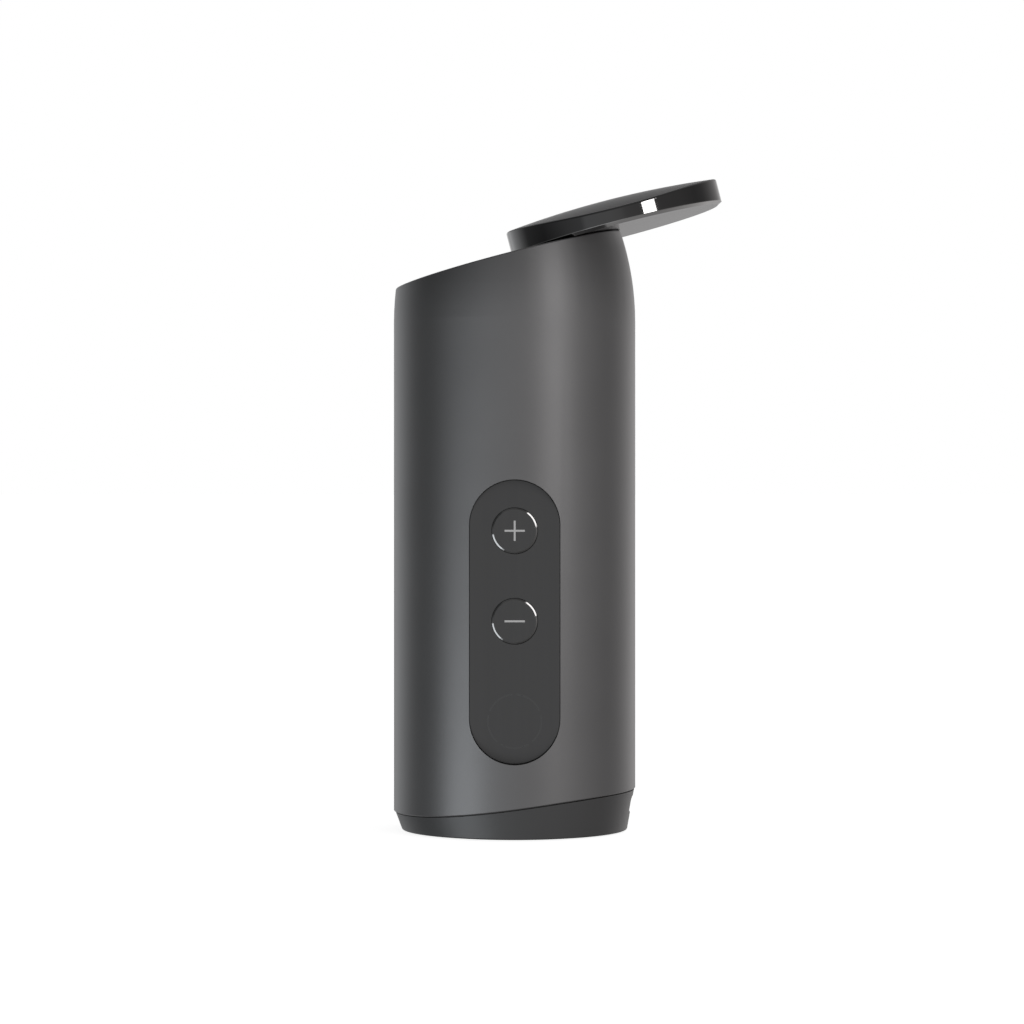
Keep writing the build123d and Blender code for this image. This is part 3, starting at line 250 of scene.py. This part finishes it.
# Noise seldom leaves this range, so roughness runs from one end of its own range to the other over it.
NOISE_RANGE = (0.3, 0.7)
UNSTRETCHED = (1, 1, 1)


class Finish(Tree):
    """One procedural material: a Principled shader with texture in the piece's own space."""

    def __init__(self, material, colour, roughness, metallic=0.0, **fixed):
        """Further shader inputs are given by name, in small letters, and hold all over the surface."""
        material.use_nodes = True
        super().__init__(material.node_tree)
        self.place = self.add("TexCoord").outputs["Object"]
        self.shader = self.add("BsdfPrincipled")
        self.set("Base Color", (*colour, OPAQUE))
        self.set("Metallic", metallic)
        self.set("Roughness", roughness)
        for name, value in fixed.items():
            self.set(name.replace("_", " ").title().replace("Ior", "IOR"), value)
        self.add("OutputMaterial", {"Surface": self.shader.outputs[0]})
        self.colour = colour

    def set(self, name, value):
        self.feed(self.shader, name, value)

    def noise(self, size, detail=2.0, stretch=UNSTRETCHED):
        """Noise with grains of about that size in millimetres, from 0 to 1."""
        spread = self.add("Mapping", {"Vector": self.place, "Scale": stretch})
        inputs = {"Vector": spread.outputs[0], "Scale": 1 / (size * MM), "Detail": detail}
        return self.add("TexNoise", inputs).outputs["Fac"]

    def cells(self, size, **settings):
        """Distance in a pattern of cells of about that size in millimetres."""
        inputs = {"Vector": self.place, "Scale": 1 / (size * MM)}
        return self.add("TexVoronoi", inputs, **settings).outputs["Distance"]

    def shade(self, factor, low, high):
        """The finish's colour, times low to high over the factor."""
        dark = tuple(c * low for c in self.colour)
        light = tuple(c * high for c in self.colour)
        return self.mix(factor, dark, light)

    def tint(self, factor, low, high):
        self.set("Base Color", self.shade(factor, low, high))

    def roughen(self, factor, low, high):
        self.set("Roughness", self.remap(factor, *NOISE_RANGE, low, high))

    def bump(self, height, depth):
        """A relief of that depth in millimetres."""
        inputs = {"Height": height, "Distance": depth * MM, "Strength": 1.0}
        self.set("Normal", self.add("Bump", inputs).outputs[0])


def anodised(material, colour, roughness, **fixed):
    """Bead-blasted and anodised aluminium: a fine even grain under a satin skin."""
    skin = Finish(material, colour, roughness, **fixed)
    grain = skin.noise(0.12, detail=3.0)
    cloud = skin.noise(18.0)
    both = skin.mix(0.5, skin.mix(grain, BLACK, WHITE), skin.mix(cloud, BLACK, WHITE))
    skin.tint(both, 0.88, 1.12)
    skin.roughen(grain, roughness - 0.03, roughness + 0.03)
    skin.bump(grain, 0.006)


def moulded(material, colour, roughness, grain=0.25, depth=0.006):
    """Moulded plastic or rubber with a spark-eroded texture."""
    skin = Finish(material, colour, roughness)
    texture = skin.noise(grain)
    skin.tint(skin.noise(12.0), 0.93, 1.07)
    skin.roughen(texture, roughness - 0.05, roughness + 0.05)
    skin.bump(texture, depth)


def smooth(material, colour, roughness, clouds, tints, grain, detail=2.0, stretch=UNSTRETCHED, ripples=None,
           **fixed):
    """Colour that drifts in clouds, and gloss that varies from grain to grain; ripples are a size and a depth."""
    low, high = roughness
    skin = Finish(material, colour, (low + high) / 2, **fixed)
    skin.tint(skin.noise(clouds), *tints)
    skin.roughen(skin.noise(grain, detail, stretch), low, high)
    if ripples:
        size, depth = ripples
        skin.bump(skin.noise(size), depth)


PANEL_COLOUR = (0.074, 0.0746, 0.0758)
SATIN = 0.34
KEY_COLOUR = (0.047, 0.0474, 0.0481)
KEY_BEVEL_COLOUR = (0.16, 0.16, 0.16)
KEY_BEVEL_ROUGHNESS = 0.08
# The normal of a key's face points forward by more than this, and its bevel's by less.
KEY_FACE_FORWARD = 0.985


def streaks(skin):
    """Very faint upright streaks."""
    return skin.noise(1.6, stretch=(1, 1, 0.02))


def panel(material):
    """Satin plastic with streaks."""
    skin = Finish(material, PANEL_COLOUR, SATIN)
    marks = streaks(skin)
    skin.tint(marks, 0.90, 1.10)
    skin.roughen(marks, SATIN - 0.03, SATIN + 0.04)
    skin.bump(skin.noise(0.2), 0.002)


def key(material):
    """The panel's satin face with a polished bevel round it."""
    skin = Finish(material, KEY_COLOUR, SATIN)
    normal = skin.add("SeparateXYZ", {0: skin.add("NewGeometry").outputs["Normal"]})
    forward = skin.math("ABSOLUTE", normal.outputs["Y"])
    face = skin.math("GREATER_THAN", forward, KEY_FACE_FORWARD)
    skin.set("Base Color", skin.mix(face, KEY_BEVEL_COLOUR, skin.shade(streaks(skin), 0.905, 1.097)))
    skin.set("Metallic", skin.math("SUBTRACT", 1.0, face))
    skin.set("Roughness", skin.remap(face, 0.0, 1.0, KEY_BEVEL_ROUGHNESS, SATIN))


def foam(material, colour):
    """Open-cell foam, with painted shade in the hollows of its pores."""
    skin = Finish(material, colour, 0.95)
    pores = skin.cells(0.9)
    # Painted shade: the pores' hollows are darker and the cell walls lighter, following the bump's height.
    skin.tint(pores, 0.4, 1.8)
    skin.bump(pores, 0.35)


def board(material, colour):
    """Solder mask with lighter tracks under it."""
    skin = Finish(material, colour, 0.3)
    tracks = skin.cells(1.6, distance="MANHATTAN", feature="DISTANCE_TO_EDGE")
    skin.tint(skin.remap(tracks, 0.03, 0.06, 1.0, 0.0), 1.0, 1.8)
    skin.roughen(skin.noise(1.0), 0.26, 0.34)


def winding(material, colour):
    """Enamelled wire, wound round the core, with painted shade between the turns."""
    skin = Finish(material, colour, 0.3, metallic=1.0)
    inputs = {"Vector": skin.place, "Scale": 1 / (1.1 * MM), "Distortion": 0.4}
    turns = skin.add("TexWave", inputs, bands_direction="Z").outputs["Fac"]
    # Painted shade in the grooves between the turns, and a faint painted highlight on their crests, following the
    # bump's waves.
    skin.tint(turns, 0.55, 1.1)
    skin.roughen(skin.noise(0.6), 0.25, 0.36)
    skin.bump(turns, 0.08)


# The shell's and the lid's metal; the lid's also brightens at grazing angles.
METAL = dict(colour=(0.235, 0.236, 0.24), roughness=0.42, metallic=1.0)

# Each slot's kind of surface and its settings. Sizes and depths are in millimetres.
FINISHES = {
    "shell_metal": (anodised, METAL),
    "lid_metal": (anodised, dict(METAL, sheen_weight=0.55, sheen_roughness=0.24)),
    "base_plastic": (anodised, dict(colour=(0.124, 0.126, 0.128), roughness=0.42, metallic=0.65)),
    "collar_metal": (anodised, dict(colour=(0.46, 0.46, 0.47), roughness=0.30, metallic=1.0)),

    "panel_plastic": (panel, {}),
    "key_plastic": (key, {}),

    # Brushed and polished plate, nearly a mirror.
    "underplate_metal": (smooth, dict(
        colour=(0.31, 0.31, 0.31), metallic=1.0, clouds=14.0, tints=(0.95, 1.05),
        roughness=(0.08, 0.12), grain=0.5, detail=3.0, stretch=(1, 6, 1))),
    # Gloss black, with the faint waviness of a polished moulding.
    "band_gloss": (smooth, dict(
        colour=(0.006, 0.006, 0.0063), ior=1.7, clouds=9.0, tints=(0.85, 1.15),
        roughness=(0.04, 0.07), grain=4.0, ripples=(6.0, 0.004))),
    "mark_plastic": (smooth, dict(
        colour=(0.74, 0.74, 0.74), clouds=0.4, tints=(0.94, 1.06), roughness=(0.45, 0.55), grain=0.3)),
    "guide_plastic": (smooth, dict(
        colour=(0.085, 0.087, 0.088), clouds=1.2, tints=(0.94, 1.06), roughness=(0.27, 0.33), grain=0.6)),
    "steel": (smooth, dict(
        colour=(0.56, 0.57, 0.58), metallic=1.0, clouds=2.0, tints=(0.92, 1.05),
        roughness=(0.22, 0.36), grain=0.5, detail=3.0, stretch=(1, 1, 8))),
    "bronze": (smooth, dict(
        colour=(0.50, 0.33, 0.17), metallic=1.0, clouds=0.5, tints=(0.85, 1.1),
        roughness=(0.32, 0.46), grain=0.4)),
    "nickel": (smooth, dict(
        colour=(0.60, 0.58, 0.54), metallic=1.0, clouds=1.5, tints=(0.9, 1.05),
        roughness=(0.24, 0.38), grain=0.4, detail=3.0, stretch=(1, 8, 1))),
    "led": (smooth, dict(
        colour=(0.75, 0.76, 0.70), clouds=0.5, tints=(0.9, 1.05), roughness=(0.2, 0.3), grain=0.3)),
    # Shrink-wrapped cells: smooth film, a little wavy.
    "cell_wrap": (smooth, dict(
        colour=(0.03, 0.16, 0.33), clouds=7.0, tints=(0.9, 1.1),
        roughness=(0.22, 0.34), grain=3.0, ripples=(4.0, 0.03))),

    "deck_plastic": (moulded, dict(colour=(0.020, 0.020, 0.021), roughness=0.48)),
    "frame_plastic": (moulded, dict(colour=(0.11, 0.11, 0.112), roughness=0.5)),
    "fan_plastic": (moulded, dict(colour=(0.30, 0.31, 0.31), roughness=0.38)),
    "chip_black": (moulded, dict(colour=(0.02, 0.02, 0.021), roughness=0.45, grain=0.12)),
    "magnet": (moulded, dict(colour=(0.05, 0.05, 0.055), roughness=0.55, grain=0.3, depth=0.02)),
    "seal_rubber": (moulded, dict(colour=(0.014, 0.014, 0.014), roughness=0.72, grain=0.35, depth=0.012)),

    "foam": (foam, dict(colour=(0.03, 0.03, 0.031))),
    "board_green": (board, dict(colour=(0.012, 0.085, 0.035))),
    "copper": (winding, dict(colour=(0.62, 0.25, 0.10))),
}


def finish_nodes():
    """Each CAD node's slot gets its procedural material."""
    made = {}
    for node in nodes.values():
        for place in node.material_slots:
            slot = place.material.name.split(".")[0]
            if slot not in made:
                made[slot] = bpy.data.materials.new("finish_" + slot)
                kind, settings = FINISHES[slot]
                kind(made[slot], **settings)
            place.material = made[slot]


add_camera()
add_world()
add_floor()
add_lights()
finish_nodes()
bpy.context.scene.view_settings.view_transform = "Standard"
